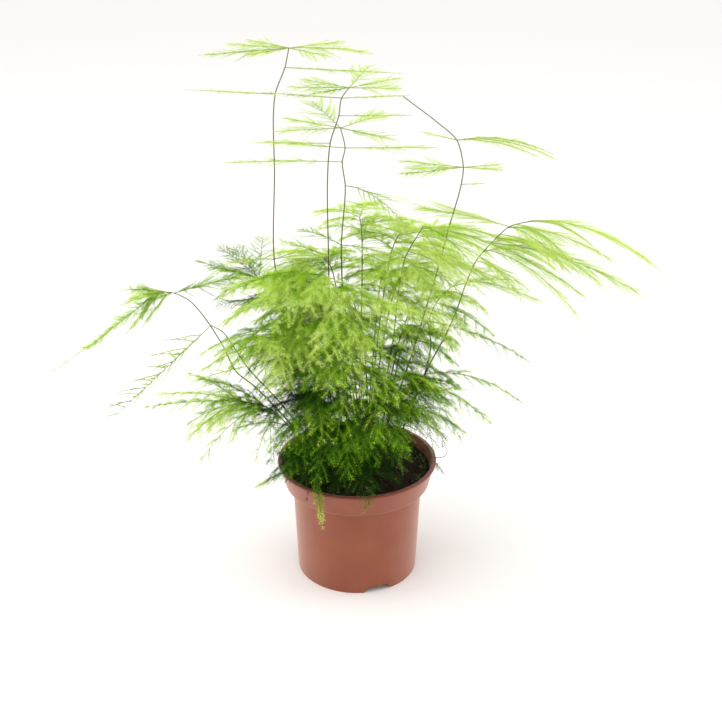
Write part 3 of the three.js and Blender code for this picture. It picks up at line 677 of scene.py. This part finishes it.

# How each look of frond grows. youngAndShade runs from 0, deep green, to 1, pale yellow-green: how young the
# growth is, with painted shade by place in the bush added in piece. bare is the part of a spray before its
# first twig, and whip the part after its last. Twigs leave at spacing, lean from the spray's line, stray
# above and below it by tilt, sweep forward and sag. Needles stand in whorls of around on a hub.
looks = {
    "tall": {
        "tone": "lime", "youngAndShade": 0.86, "bare": 0.16, "whip": 0.08, "spacing": 2, "lean": 42,
        "tilt": 0.55, "sweep": 0.3, "sag": 0.06, "needle": 3.2, "around": 4, "hub": 0.17,
    },
    "arching": {
        "tone": "lime", "youngAndShade": 0.86, "bare": 0.06, "whip": 0.12, "spacing": 1.9, "lean": 38,
        "tilt": 0.3, "sweep": 0.36, "sag": 0.08, "needle": 3.9, "around": 5, "hub": 0.2,
    },
    "front": {
        "tone": "lime", "youngAndShade": 0.74, "bare": 0.03, "whip": 0.03, "spacing": 5.4, "lean": 46,
        "tilt": 0.45, "sweep": 0.2, "sag": 0.34, "needle": 5.7, "around": 7, "hub": 0.3,
    },
    "upper": {
        "tone": "lime", "youngAndShade": 0.92, "bare": 0.04, "whip": 0.04, "spacing": 3, "lean": 50,
        "tilt": 0.5, "sweep": 0.22, "sag": 0.16, "needle": 4.8, "around": 5, "hub": 0.24,
    },
    "middle": {
        "tone": "green", "youngAndShade": 0.58, "bare": 0.04, "whip": 0.05, "spacing": 4.3, "lean": 48,
        "tilt": 0.6, "sweep": 0.22, "sag": 0.36, "needle": 5.2, "around": 6, "hub": 0.28,
    },
    "whip": {
        "tone": "green", "youngAndShade": 0.6, "bare": 0.02, "whip": 0.3, "spacing": 1.5, "lean": 34,
        "tilt": 1.6, "sweep": 0.3, "sag": 0.12, "needle": 4.8, "around": 6, "hub": 0.24,
    },
    "sparse": {
        "tone": "green", "youngAndShade": 0.5, "bare": 0.1, "whip": 0.2, "spacing": 3.2, "lean": 60,
        "tilt": 0.5, "sweep": 0.1, "sag": 0.1, "needle": 2.6, "around": 3, "hub": 0.16,
    },
    "feathery": {
        "tone": "deep", "youngAndShade": 0.4, "bare": 0.03, "whip": 0.06, "spacing": 1.6, "lean": 50,
        "tilt": 0.7, "sweep": 0.16, "sag": 0.12, "needle": 3.6, "around": 4, "hub": 0.17,
    },
    "lower": {
        "tone": "deep", "youngAndShade": 0.55, "bare": 0.04, "whip": 0.04, "spacing": 2.9, "lean": 52,
        "tilt": 0.7, "sweep": 0.2, "sag": 0.4, "needle": 5.2, "around": 6, "hub": 0.28,
    },
    "hanging": {
        "tone": "deep", "youngAndShade": 0.36, "bare": 0.03, "whip": 0.02, "spacing": 1.6, "lean": 36,
        "tilt": 1.2, "sweep": 0.2, "sag": 0.2, "needle": 4.8, "around": 6, "hub": 0.26, "tip": 0.9,
    },
    "short": {
        "tone": "deep", "youngAndShade": 0.3, "bare": 0.03, "whip": 0.03, "spacing": 2.7, "lean": 48,
        "tilt": 0.8, "sweep": 0.2, "sag": 0.5, "needle": 5.2, "around": 6, "hub": 0.28,
    },
}

growth = {
    "stemFoot": 58,
    "collar": 90,
    "stemRadii": (0.6, 0.34),
    "stemSides": 8,
    "stemTone": 0.5,
    "stemTurn": 0.7,
    "routeEase": 0.8,
    "coreRadii": (0.34, 0.1),
    "coreSides": 5,
    "coreStep": 4,
    "coreStops": 8,
    "coreLeafy": 0.35,
    "coreBare": 0.25,
    "coreThinning": 0.5,
    "coreNeedles": (0.85, 0.6),
    "ends": (0.03, 0.97),
    "taperEnd": 1.02,
    "fullAtRoot": 0.45,
    "fullRise": 2.4,
    "fullTaper": 0.7,
    "twigRadii": (0.16, 0.06),
    "twigSides": 3,
    "twigStops": 4,
    "twigLeafy": 0.6,
    "twigLengths": (0.82, 1.18),
    "twigStray": 0.25,
    "leanStray": 6,
    "shortestTwig": 2.5,
    "nearby": 0.02,
    "whorlSpacing": 1.25,
    "firstWhorl": 1.0,
    "endFrom": 0.6,
    "endLoss": 0.45,
    "needleLean": (40, 74),
    "needleLengths": (0.7, 1.1),
    "flatness": 0.8,
}
# How far youngAndShade strays from spray to spray, twig to twig and whorl to whorl, and how it rises along a
# twig, from less than its own value before the middle share, and towards a spray's tip.
tones = {"spray": 0.15, "twig": 0.07, "whorl": 0.08, "alongTwig": 0.42, "middle": 0.4, "tip": 0.12}
# Painted shade and light: sprays and twigs are painted palest at the outside of the bush, deepest near its
# heart and darker low down, where shade falls, with painted light lifting its right side.
heart = {
    "place": (-14, 4, 122),
    "reach": (96, 84, 150),
    "deepestShade": -0.5,
    "palest": 0.18,
    "falloff": 1.5,
    "lowest": 110,
    "low": 188,
    "lowShade": -0.42,
    "across": 85,
    "paintedLightRight": 0.14,
}
# A twig with a point in this ring round the pot's rim is left out.
rimZone = {"inside": 54.5, "outside": 61, "top": 92.5, "stops": 14}


class Foliage:
    # Gathers the tubes and needles of one frond, each vertex with how leafy it is and its youngAndShade
    # tone: how young it is, to which piece adds painted shade.
    def __init__(self):
        self.vertices = []
        self.faces = []
        self.leafy = []
        self.youngAndShade = []
        self.count = 0

    def add(self, vertices, faces, leafy, youngAndShade):
        vertices = vertices.reshape(-1, 3)
        self.vertices.append(vertices)
        self.faces.append(faces + self.count)
        self.leafy.append(np.broadcast_to(leafy, len(vertices)).astype(np.float32))
        self.youngAndShade.append(np.broadcast_to(youngAndShade, len(vertices)).astype(np.float32))
        self.count += len(vertices)

    def addTubes(self, points, radii, normals, sides, leafy, youngAndShade):
        # points are tubes x stops x 3, radii are tubes x stops, and normals are tubes x 3.
        tubes, stops = points.shape[:2]
        along = unit(np.gradient(points, axis=1))
        side = unit(np.cross(along, normals[:, None]))
        out = np.cross(side, along)
        turns = 2 * np.pi * np.arange(sides) / sides
        ring = np.cos(turns)[:, None] * side[:, :, None] + np.sin(turns)[:, None] * out[:, :, None]
        vertices = points[:, :, None] + radii[:, :, None, None] * ring
        k = np.arange(sides)
        beside = (k + 1) % sides
        walls = []
        for stop in range(stops - 1):
            low, high = stop * sides, (stop + 1) * sides
            walls.append(np.stack([low + k, low + beside, high + beside], 1))
            walls.append(np.stack([low + k, high + beside, high + k], 1))
        last = (stops - 1) * sides
        walls.append([[0, k + 1, k] for k in range(1, sides - 1)])
        walls.append([[last, last + k, last + k + 1] for k in range(1, sides - 1)])
        faces = np.concatenate([np.array(wall) for wall in walls])
        faces = faces[None] + (np.arange(tubes) * stops * sides)[:, None, None]
        youngAndShade = np.repeat(np.asarray(youngAndShade, float).reshape(tubes, -1) * np.ones((tubes, stops)), sides)
        self.add(vertices, faces.reshape(-1, 3), leafy, youngAndShade)

    def piece(self, name, surface, slot):
        vertices = np.concatenate(self.vertices)
        faces = np.concatenate(self.faces)
        # The painted shade and light by place in the bush is added to the young tone here.
        youngAndShade = np.concatenate(self.youngAndShade) + paintedShadeShift(vertices)
        mesh = bpy.data.meshes.new(name)
        mesh.vertices.add(len(vertices))
        mesh.vertices.foreach_set("co", (vertices * mm).ravel().astype(np.float32))
        mesh.loops.add(faces.size)
        mesh.loops.foreach_set("vertex_index", faces.ravel().astype(np.int32))
        mesh.polygons.add(len(faces))
        mesh.polygons.foreach_set("loop_start", np.arange(0, faces.size, 3, dtype=np.int32))
        mesh.shade_smooth()
        # This tone attribute holds painted shade as well as how young the growth is.
        for label, values in (("leafy", np.concatenate(self.leafy)), ("youngAndShade", youngAndShade)):
            attribute = mesh.attributes.new(label, "FLOAT", "POINT")
            attribute.data.foreach_set("value", values.astype(np.float32))
        mesh.update(calc_edges=True)
        mesh.validate()
        return addPiece(name, mesh, surface)


# Painted shade and light: deeper towards the bush's heart and below low, paler outside and towards the
# right.
def paintedShadeShift(places):
    depth = np.linalg.norm((places - heart["place"]) / heart["reach"], axis=1)
    shift = lerp(heart["deepestShade"], heart["palest"], np.clip(depth, 0, 1) ** heart["falloff"])
    low = (heart["low"] - places[:, 2]) / (heart["low"] - heart["lowest"])
    shift += heart["lowShade"] * np.clip(low, 0, 1)
    return shift + heart["paintedLightRight"] * np.clip(places[:, 0] / heart["across"], 0, 1)


def smoothRoute(points, perSpan=10):
    # A soft curve through every point, with its ends carried straight on.
    points = np.array(points, float)
    points = np.concatenate([[2 * points[0] - points[1]], points, [2 * points[-1] - points[-2]]])
    made = []
    for a, b, c, d in zip(points, points[1:], points[2:], points[3:]):
        pace = np.linalg.norm(c - b)
        leave = unit(unit(b - a) + unit(c - b)) * pace * growth["routeEase"]
        arrive = unit(unit(c - b) + unit(d - c)) * pace * growth["routeEase"]
        for share in np.arange(perSpan) / perSpan:
            s2, s3 = share**2, share**3
            fromStart = (2 * s3 - 3 * s2 + 1) * b + (s3 - 2 * s2 + share) * leave
            made.append(fromStart + (3 * s2 - 2 * s3) * c + (s3 - s2) * arrive)
    return np.array(made + [points[-2]])


def sprayLine(frond, spray):
    heading, pitch = math.radians(spray["heading"]), math.radians(spray["pitch"])
    start = spray["start"] if "start" in spray else np.array(frond["route"][spray["at"] - 1], float)
    level = np.array([math.cos(heading), math.sin(heading), 0])
    run, rise = polar(spray["length"], pitch)
    droop = spray.get("droop", 0)

    def line(t):
        t = np.asarray(t, float)[..., None]
        return start + level * run * t + up * (rise * t - droop * t**2)

    return line


def fullness(t):
    # How long a spray's twigs are along it: short at the root, soon full, then less and less to the tip.
    return np.minimum(1, growth["fullAtRoot"] + growth["fullRise"] * t) * (1 - t) ** growth["fullTaper"]


def growSpray(foliage, frond, spray, look, random):
    line = sprayLine(frond, spray)

    def forwardAt(t):
        return unit(line(t + growth["nearby"]) - line(t - growth["nearby"]))

    youngAndShade = look["youngAndShade"] + tones["spray"] * random.standard_normal()
    share = np.linspace(0, 1, max(growth["coreStops"], round(spray["length"] / growth["coreStep"])))
    whole = line(1) - line(0)
    normal = unit(np.cross(whole, np.cross(up, whole)))
    radii = lerp(*growth["coreRadii"], share)
    core = (line(share)[None], radii[None], normal[None])
    foliage.addTubes(*core, growth["coreSides"], growth["coreLeafy"], youngAndShade)
    first, last = growth["ends"][0] + look["bare"], growth["ends"][1] - look["whip"]
    count = max(3, round(spray["length"] * (last - first) / look["spacing"]))
    t = np.linspace(first, last, count) + growth["twigStray"] / count * random.uniform(-1, 1, count)
    full = fullness((t - first) / (growth["taperEnd"] - first))
    length = spray["width"] * full * random.uniform(*growth["twigLengths"], count)
    kept = length > growth["shortestTwig"]
    t, length = t[kept], length[kept]
    side = np.where(np.arange(count)[kept] % 2, -1.0, 1.0)[:, None]
    forward = forwardAt(t)
    across = unit(np.cross(up, forward)) * side
    lean = np.radians(look["lean"] + growth["leanStray"] * random.standard_normal(len(t)))[:, None]
    tilt = look["tilt"] * random.uniform(-0.5, 0.5, len(t))[:, None]
    reach = unit(forward * np.cos(lean) + across * np.sin(lean) + up * tilt)
    tip = look.get("tip", tones["tip"])
    growTwigs(foliage, line(t), reach, forward, length, look, youngAndShade + tip * t, random)
    # The core's own needles run out to its tip.
    start = growth["coreBare"] * look["bare"] + growth["ends"][0]
    spots = np.arange(start, 1, growth["whorlSpacing"] / spray["length"])
    spots = spots[random.random(len(spots)) > growth["coreThinning"] * spots]
    sizes = lerp(*growth["coreNeedles"], spots)
    growNeedles(foliage, line(spots), forwardAt(spots), sizes, youngAndShade + tip * spots, look, random)


def growTwigs(foliage, roots, reach, forward, length, look, youngAndShade, random):
    def clearOfRim(bend):
        s = np.linspace(0, 1, rimZone["stops"])[None, :, None]
        path = roots[:, None] + (reach[:, None] + bend[:, None] * s) * length[:, None, None] * s
        out = np.hypot(path[..., 0], path[..., 1])
        inRing = (out > rimZone["inside"]) & (out < rimZone["outside"])
        return ~(inRing & (path[..., 2] < rimZone["top"])).any(axis=1)

    bend = forward * look["sweep"] - up * look["sag"]
    clear = clearOfRim(bend)
    if not clear.any():
        return
    parts = (roots, reach, forward, bend, length, youngAndShade)
    roots, reach, forward, bend, length, youngAndShade = (part[clear] for part in parts)
    stops = np.linspace(0, 1, growth["twigStops"])
    s = stops[None, :, None]
    size = length[:, None, None]
    points = roots[:, None] + reach[:, None] * size * s + bend[:, None] * size * s**2
    radii = lerp(*growth["twigRadii"], stops)[None] * np.ones((len(roots), 1))
    normals = unit(np.cross(forward, np.cross(up, forward)))
    youngAndShade = youngAndShade + tones["twig"] * random.standard_normal(len(roots))
    rise = tones["alongTwig"] * (stops[None] - tones["middle"])
    foliage.addTubes(points, radii, normals, growth["twigSides"], growth["twigLeafy"], youngAndShade[:, None] + rise)
    whorls = [np.arange(growth["firstWhorl"], size, growth["whorlSpacing"]) / size for size in length]
    owner = np.repeat(np.arange(len(roots)), [len(found) for found in whorls])
    s = np.concatenate(whorls)[:, None]
    own = length[owner, None]
    spots = roots[owner] + reach[owner] * own * s + bend[owner] * own * s**2
    ways = unit(reach[owner] + 2 * bend[owner] * s)
    s = s[:, 0]
    sizes = 1 - growth["endLoss"] * np.maximum(0, s - growth["endFrom"]) / (1 - growth["endFrom"])
    tone = youngAndShade[owner] + tones["alongTwig"] * (s - tones["middle"])
    growNeedles(foliage, spots, ways, sizes, tone, look, random)


def growNeedles(foliage, spots, ways, sizes, youngAndShade, look, random):
    # A whorl of flat needles at each spot, spread sideways and leaning forward, each on two of the
    # hub's corners.
    around = look["around"]
    k = np.arange(around)
    side = unit(np.cross(ways, up))[:, None]
    out = np.cross(side, ways[:, None])
    turn = 2 * np.pi * (k / around + random.random(len(spots))[:, None])

    def ringed(angle, flatness):
        return side * np.cos(angle)[..., None] + out * flatness * np.sin(angle)[..., None]

    hubs = spots[:, None] + look["hub"] * ringed(turn, 1)
    lean = np.radians(random.uniform(*growth["needleLean"], turn.shape))[..., None]
    reach = ways[:, None] * np.cos(lean) + ringed(turn + np.pi / around, growth["flatness"]) * np.sin(lean)
    lengths = look["needle"] * sizes[:, None] * random.uniform(*growth["needleLengths"], turn.shape)
    tips = spots[:, None] + reach * lengths[..., None]
    blades = np.stack([k, (k + 1) % around, around + k], 1)
    faces = blades[None] + 2 * around * np.arange(len(spots))[:, None, None]
    youngAndShade = youngAndShade + tones["whorl"] * random.standard_normal(len(spots))
    corners = np.concatenate([hubs, tips], axis=1)
    foliage.add(corners, faces.reshape(-1, 3), 1.0, np.repeat(youngAndShade, 2 * around))


def tierFronds(tier):
    # The fronds of a tier, in the same way and with the same draws as the model's.
    made = []
    length, pitch, width, droop = tier["spray"]
    for i, (heading, reach, top) in enumerate(tier["plans"]):
        draw = seeded(tier["seed"] + seedSteps["tierFrond"] * i)
        cos, sin = polar(1, math.radians(heading))
        bend = spread["sway"] * (draw() - 0.5)
        route = []
        for out, rise in arch:
            r, sway = lerp(tier["foot"], reach, out), bend * math.sin(math.pi * out)
            route.append((r * cos - sway * sin, r * sin + sway * cos, lerp(growth["collar"], top, rise)))
        sprays = []
        for at, turn, size in fan:
            sprays.append({
                "at": at,
                "heading": heading + turn + spread["jitterDeg"] * (draw() - 0.5),
                "length": length * size * varied(spread["length"], draw()),
                "pitch": pitch * varied(spread["pitch"], draw()),
                "width": width * size,
                "droop": droop * size,
            })
        foot = (tier["foot"] * cos, tier["foot"] * sin)
        share = 1 if foot[0] < 0 else tier["rightShare"]
        made.append({
            "name": f"frond_{tier['look']}_{i + 1}", "look": tier["look"], "foot": foot, "route": route,
            "sprays": sprays, "fillers": round(tier["fillers"] * share), "filler": tier["spray"],
            "lowest": tier["lowest"] if foot[1] < 0 else tier["backLowest"],
        })
    return made


def fillerSprays(frond, stem, random):
    # Each filler turns on by a golden share, so that none hides the last.
    length, pitch, width, droop = frond.get("filler", fillers["spray"])
    lowest, most = frond.get("lowest", fillers["lowest"]), frond.get("turn", fillers["turn"])
    count = frond.get("fillers", 0)
    towards = math.degrees(math.atan2(stem[-1][1], stem[-1][0]))
    made = []
    for k in range(count):
        share = lerp(lowest, fillers["highest"], (k + random.random()) / count)
        size = random.uniform(*fillers["sizes"])
        turn = 2 * ((k * fillers["goldenShare"] + random.random() * fillers["stray"]) % 1) - 1
        made.append({
            "start": stem[round(share * (len(stem) - 1))],
            "heading": towards + most * turn,
            "length": length * size,
            "pitch": pitch * random.uniform(*fillers["pitches"]),
            "width": width * size,
            "droop": droop * size * random.uniform(*fillers["droops"]),
        })
    return made


def combSprays(frond, random):
    made = []
    spray, count = frond["sprays"][0], frond.get("comb", 0)
    for k in range(count):
        share = lerp(*comb["from"], k / (count - 1))
        made.append({
            "start": sprayLine(frond, spray)(share),
            "heading": spray["heading"] + comb["turn"] * (-1) ** k * random.uniform(*comb["turns"]),
            "length": comb["length"] * (1 - comb["shortening"] * share) * random.uniform(*comb["lengths"]),
            "pitch": comb["pitch"] * random.uniform(-1, 1),
            "width": comb["width"],
            "droop": comb["droop"],
        })
    return made


# Needles and bark take their colour from youngAndShade, how young they are plus painted shade by place in
# the bush, with soft patches over both.
bush = {
    "needles": [
        (0.0, (0.015, 0.055, 0.003)),
        (0.3, (0.05, 0.16, 0.004)),
        (0.6, (0.165, 0.38, 0.006)),
        (0.85, (0.37, 0.61, 0.014)),
        (1.0, (0.66, 0.85, 0.18)),
    ],
    "bark": [
        (0.1, (0.035, 0.045, 0.014)),
        (0.35, (0.08, 0.092, 0.035)),
        (0.62, (0.17, 0.18, 0.09)),
    ],
    "patches": (60, 2),
    "patchDepth": 0.3,
    "roughness": 0.65,
    "specular": 0.06,
}


def foliageSurface(name):
    surface = Surface(name, bush)
    depth = bush["patchDepth"]
    patches = surface.math("MULTIPLY", surface.noise(*bush["patches"]), depth)
    leafy = surface.add("Attribute", "Fac", attribute_name="leafy")
    # This attribute holds the young growth tone with painted shade added.
    youngAndShade = surface.add("Attribute", "Fac", attribute_name="youngAndShade")
    tone = surface.math("SUBTRACT", surface.math("ADD", youngAndShade, patches), depth / 2)
    bark, needles = (surface.ramp(tone, bush[part]) for part in ("bark", "needles"))
    surface.paint(surface.mix(leafy, bark, needles))
    return surface


def namedSprays(rows):
    return [dict(zip(sprayParts, row)) for row in rows]


def makeFronds():
    surfaces = {tone: foliageSurface(tone + "Needles") for tone in ("lime", "green", "deep")}
    fronds = [
        {**frond, "name": name, "sprays": namedSprays(frond["sprays"])}
        for name, frond in placedFronds.items()
    ]
    fronds += [frond for tier in tiers for frond in tierFronds(tier)]
    total = 0
    for i, frond in enumerate(fronds):
        look = dict(looks[frond["look"]])
        look["youngAndShade"] = frond.get("youngAndShade", look["youngAndShade"])
        random = np.random.default_rng(1 + seedSteps["frond"] * i)
        foliage = Foliage()
        x, y = frond["foot"]
        stem = smoothRoute([(x, y, growth["stemFoot"]), (x, y, growth["collar"])] + list(frond["route"]))
        radii = np.linspace(*growth["stemRadii"], len(stem))
        normal = np.array([[math.sin(growth["stemTurn"]), math.cos(growth["stemTurn"]), 0.0]])
        foliage.addTubes(stem[None], radii[None], normal, growth["stemSides"], 0.0, growth["stemTone"])
        for spray in frond["sprays"] + combSprays(frond, random) + fillerSprays(frond, stem, random):
            growSpray(foliage, frond, spray, look, random)
        piece = foliage.piece("foliage_" + frond["name"], surfaces[look["tone"]], "foliage_" + look["tone"])
        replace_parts(piece, frond["name"])
        total += len(piece.data.polygons)
    makeSmallThings(surfaces["deep"])
    print("fronds:", len(fronds), "pieces with", total, "triangles")


# Small things on the plant: a thin curled tendril beyond the rim, and a dried sprig inside the bush

tendril = {
    "points": [(44, -2, 92), (55, -3, 93.5), (62.7, -3, 93), (66.4, -3, 94.5), (67.9, -2, 97.4),
               (67, -1, 100.7), (65.3, -1, 102.6)],
    "radii": (0.3, 0.16),
    "leafy": 0.1,
    "youngAndShade": 0.7,
}
driedSprig = {
    "frond": {"route": [(8, 8, 133)]},
    "sprays": [(1, -12, 24, 12, 9, 6), (1, -60, 18, 8, 8, 6)],
    "colours": ((0.16, 0.08, 0.015), (0.42, 0.22, 0.03)),
    "stops": (0.35, 0.65),
    "mottle": (200, 2),
    "roughness": 0.8,
    "specular": 0.05,
    "seed": 7,
}


def makeSmallThings(bark):
    curl = Foliage()
    points = smoothRoute(tendril["points"])
    radii = np.linspace(*tendril["radii"], len(points))
    front = np.array([[0.0, 1.0, 0.0]])
    curl.addTubes(points[None], radii[None], front, growth["coreSides"], tendril["leafy"], tendril["youngAndShade"])
    curl.piece("rim_tendril", bark, "foliage_deep")
    random = np.random.default_rng(driedSprig["seed"])
    dried = Foliage()
    for spray in namedSprays(driedSprig["sprays"]):
        growSpray(dried, driedSprig["frond"], spray, looks["middle"], random)
    surface = Surface("driedNeedles", driedSprig).mottle(driedSprig)
    dried.piece("dried_sprig", surface, "foliage_deep")


# Floor, light and camera

stage = {
    "floor": {"size": 60, "colour": (0.9, 0.875, 0.86), "roughness": 0.7, "specular": 0.3},
    "skyStrength": 1.05,
    "lampsAimAt": (0, 0, 0.15),
    "lamps": {
        "key_light": {"place": (-0.5, -0.3, 1.5), "size": 1.2, "power": 9},
        "left_light": {"place": (-1.3, 0.2, 0.5), "size": 0.9, "power": 5},
        "right_light": {"place": (1.3, 0.2, 0.5), "size": 0.9, "power": 5},
    },
}
view = {
    "place": (0.003, -0.850, 0.566),
    "downDegrees": 24.47,
    "focalPixels": 1281,
    "framePixels": 722,
    "sensor": 36,
}


def makeStage():
    half = stage["floor"]["size"] / 2
    corners = [(-half, -half, 0), (half, -half, 0), (half, half, 0), (-half, half, 0)]
    mesh = bpy.data.meshes.new("studio_floor")
    mesh.from_pydata(corners, [], [(0, 1, 2, 3)])
    paper = Surface("palePaper", stage["floor"])
    paper.paint(stage["floor"]["colour"])
    mesh.materials.append(paper.material)
    addObject("studio_floor", mesh)
    sky = bpy.data.worlds.new("studio")
    sky.use_nodes = True
    glow = sky.node_tree.nodes["Background"].inputs
    glow["Color"].default_value = (1, 1, 1, 1)
    glow["Strength"].default_value = stage["skyStrength"]
    scene.world = sky
    for name, lamp in stage["lamps"].items():
        addLamp(name, lamp)
    scene.view_settings.view_transform = "Standard"


def addLamp(name, lamp):
    light = bpy.data.lights.new(name, "AREA")
    light.size = lamp["size"]
    light.energy = lamp["power"]
    holder = addObject(name, light)
    holder.location = lamp["place"]
    aim = Vector(stage["lampsAimAt"]) - holder.location
    holder.rotation_euler = aim.to_track_quat("-Z", "Y").to_euler()


def makeCamera():
    lens = bpy.data.cameras.new("camera")
    lens.sensor_width = view["sensor"]
    lens.lens = view["focalPixels"] / view["framePixels"] * view["sensor"]
    camera = addObject("camera", lens)
    camera.location = view["place"]
    camera.rotation_euler = (math.radians(90 - view["downDegrees"]), 0, 0)
    scene.camera = camera


makePot()
print("pot turned and cut")
makeSoil()
makeChips()
print("soil laid")
makeFronds()
makeStage()
makeCamera()
print("stage lit")
